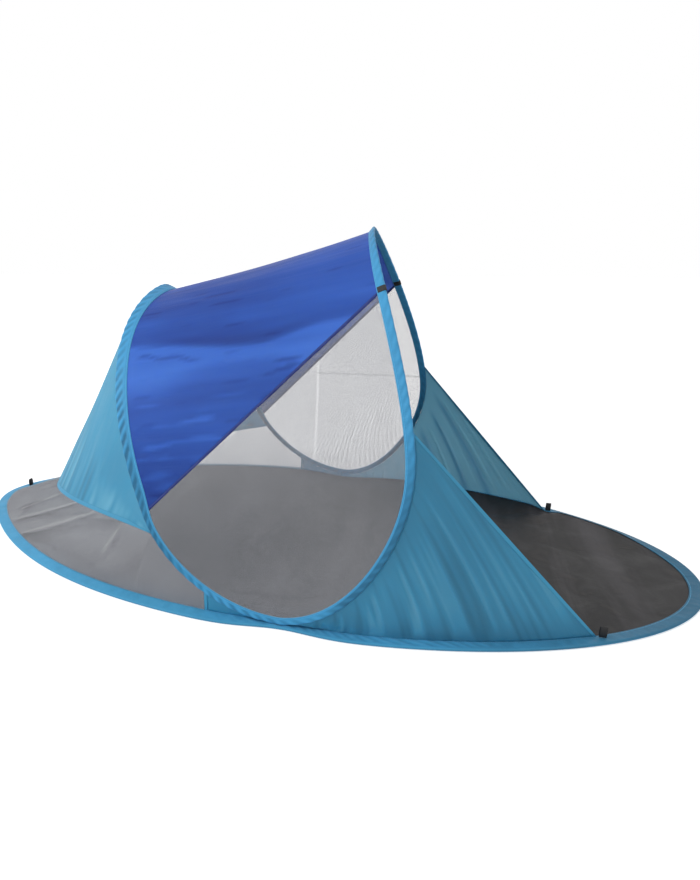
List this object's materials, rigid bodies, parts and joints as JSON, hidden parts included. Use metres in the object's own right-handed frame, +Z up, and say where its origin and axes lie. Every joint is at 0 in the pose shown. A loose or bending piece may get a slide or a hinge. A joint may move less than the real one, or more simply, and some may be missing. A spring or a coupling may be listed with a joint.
{
  "type": "pop-up beach tent",
  "caption": "Pop-up beach shelter: spring wire hoops in fabric sleeves carry a shade roof, mesh side windows, a closed end and a floor open at one end.",
  "frame": {"origin": "on the ground below the middle of the tent's bounding box", "axes": "+X along the tent towards its open end, +Y towards its back, +Z up"},
  "size_m": [2.3, 1.1562, 0.9498],
  "materials": {
    "sky_blue_binding": "satin woven polyester, folded round the wire",
    "sky_blue_polyester": "thin coated polyester, slightly see-through",
    "royal_blue_polyester": "thin coated polyester with a soft sheen",
    "coated_floor": "coated woven floor cloth, slightly glossy",
    "fine_mesh": "fine see-through netting",
    "black_webbing": "woven polypropylene webbing",
    "spring_steel": "plain spring steel"
  },
  "bodies": {
    "closed_half": {"floor_binding_closed_end": "sky_blue_binding", "floor_wire_closed_end": "spring_steel", "floor_sheet_closed_end": "coated_floor", "arch_sleeve_closed_end": "sky_blue_binding", "arch_sleeve_bend_front": "sky_blue_binding", "arch_sleeve_bend_rear": "sky_blue_binding", "arch_wire_closed_end": "spring_steel", "arch_wire_ferrule": "spring_steel", "roof_panel": "royal_blue_polyester", "window_front": "fine_mesh", "window_rear": "fine_mesh", "end_panel": "sky_blue_polyester", "mesh_skirt": "fine_mesh", "gusset_front": "sky_blue_polyester", "gusset_rear": "sky_blue_polyester"},
    "open_half": {"floor_binding_open_end": "sky_blue_binding", "floor_wire_open_end": "spring_steel", "floor_wire_ferrule": "spring_steel", "floor_sheet_open_end": "coated_floor", "arch_sleeve_open_end": "sky_blue_binding", "arch_wire_open_end": "spring_steel", "wing_front": "sky_blue_polyester", "wing_rear": "sky_blue_polyester", "roof_strap_front": "black_webbing", "roof_strap_rear": "black_webbing"},
    "closed_end_loop": {"peg_loop_closed_end": "black_webbing"},
    "front_loop": {"peg_loop_front": "black_webbing"},
    "rear_loop": {"peg_loop_rear": "black_webbing"}
  },
  "joints": [
    {"name": "fold", "type": "hinge", "parent": "closed_half", "child": "open_half", "pos_m": [0.078, 0, 0.00766], "axis": [0, -1, 0], "range_deg": [0, 34], "stiffness_Nm_per_rad": 3, "deforming": ["roof_panel", "window_front", "window_rear", "arch_sleeve_bend_front", "arch_sleeve_bend_rear"]},
    {"name": "closed_end_loop_fold", "type": "hinge", "parent": "closed_half", "child": "closed_end_loop", "pos_m": [-1.11023, 0.07092, 0.01005], "axis": [0, 1, 0], "range_deg": [-75, 45], "stiffness_Nm_per_rad": 0.002},
    {"name": "front_loop_fold", "type": "hinge", "parent": "open_half", "child": "front_loop", "pos_m": [0.82388, -0.38103, 0.01014], "axis": [1, 0, 0], "range_deg": [-60, 75], "stiffness_Nm_per_rad": 0.002},
    {"name": "rear_loop_fold", "type": "hinge", "parent": "open_half", "child": "rear_loop", "pos_m": [0.82388, 0.38103, 0.01014], "axis": [-1, 0, 0], "range_deg": [-60, 75], "stiffness_Nm_per_rad": 0.002}
  ]
}
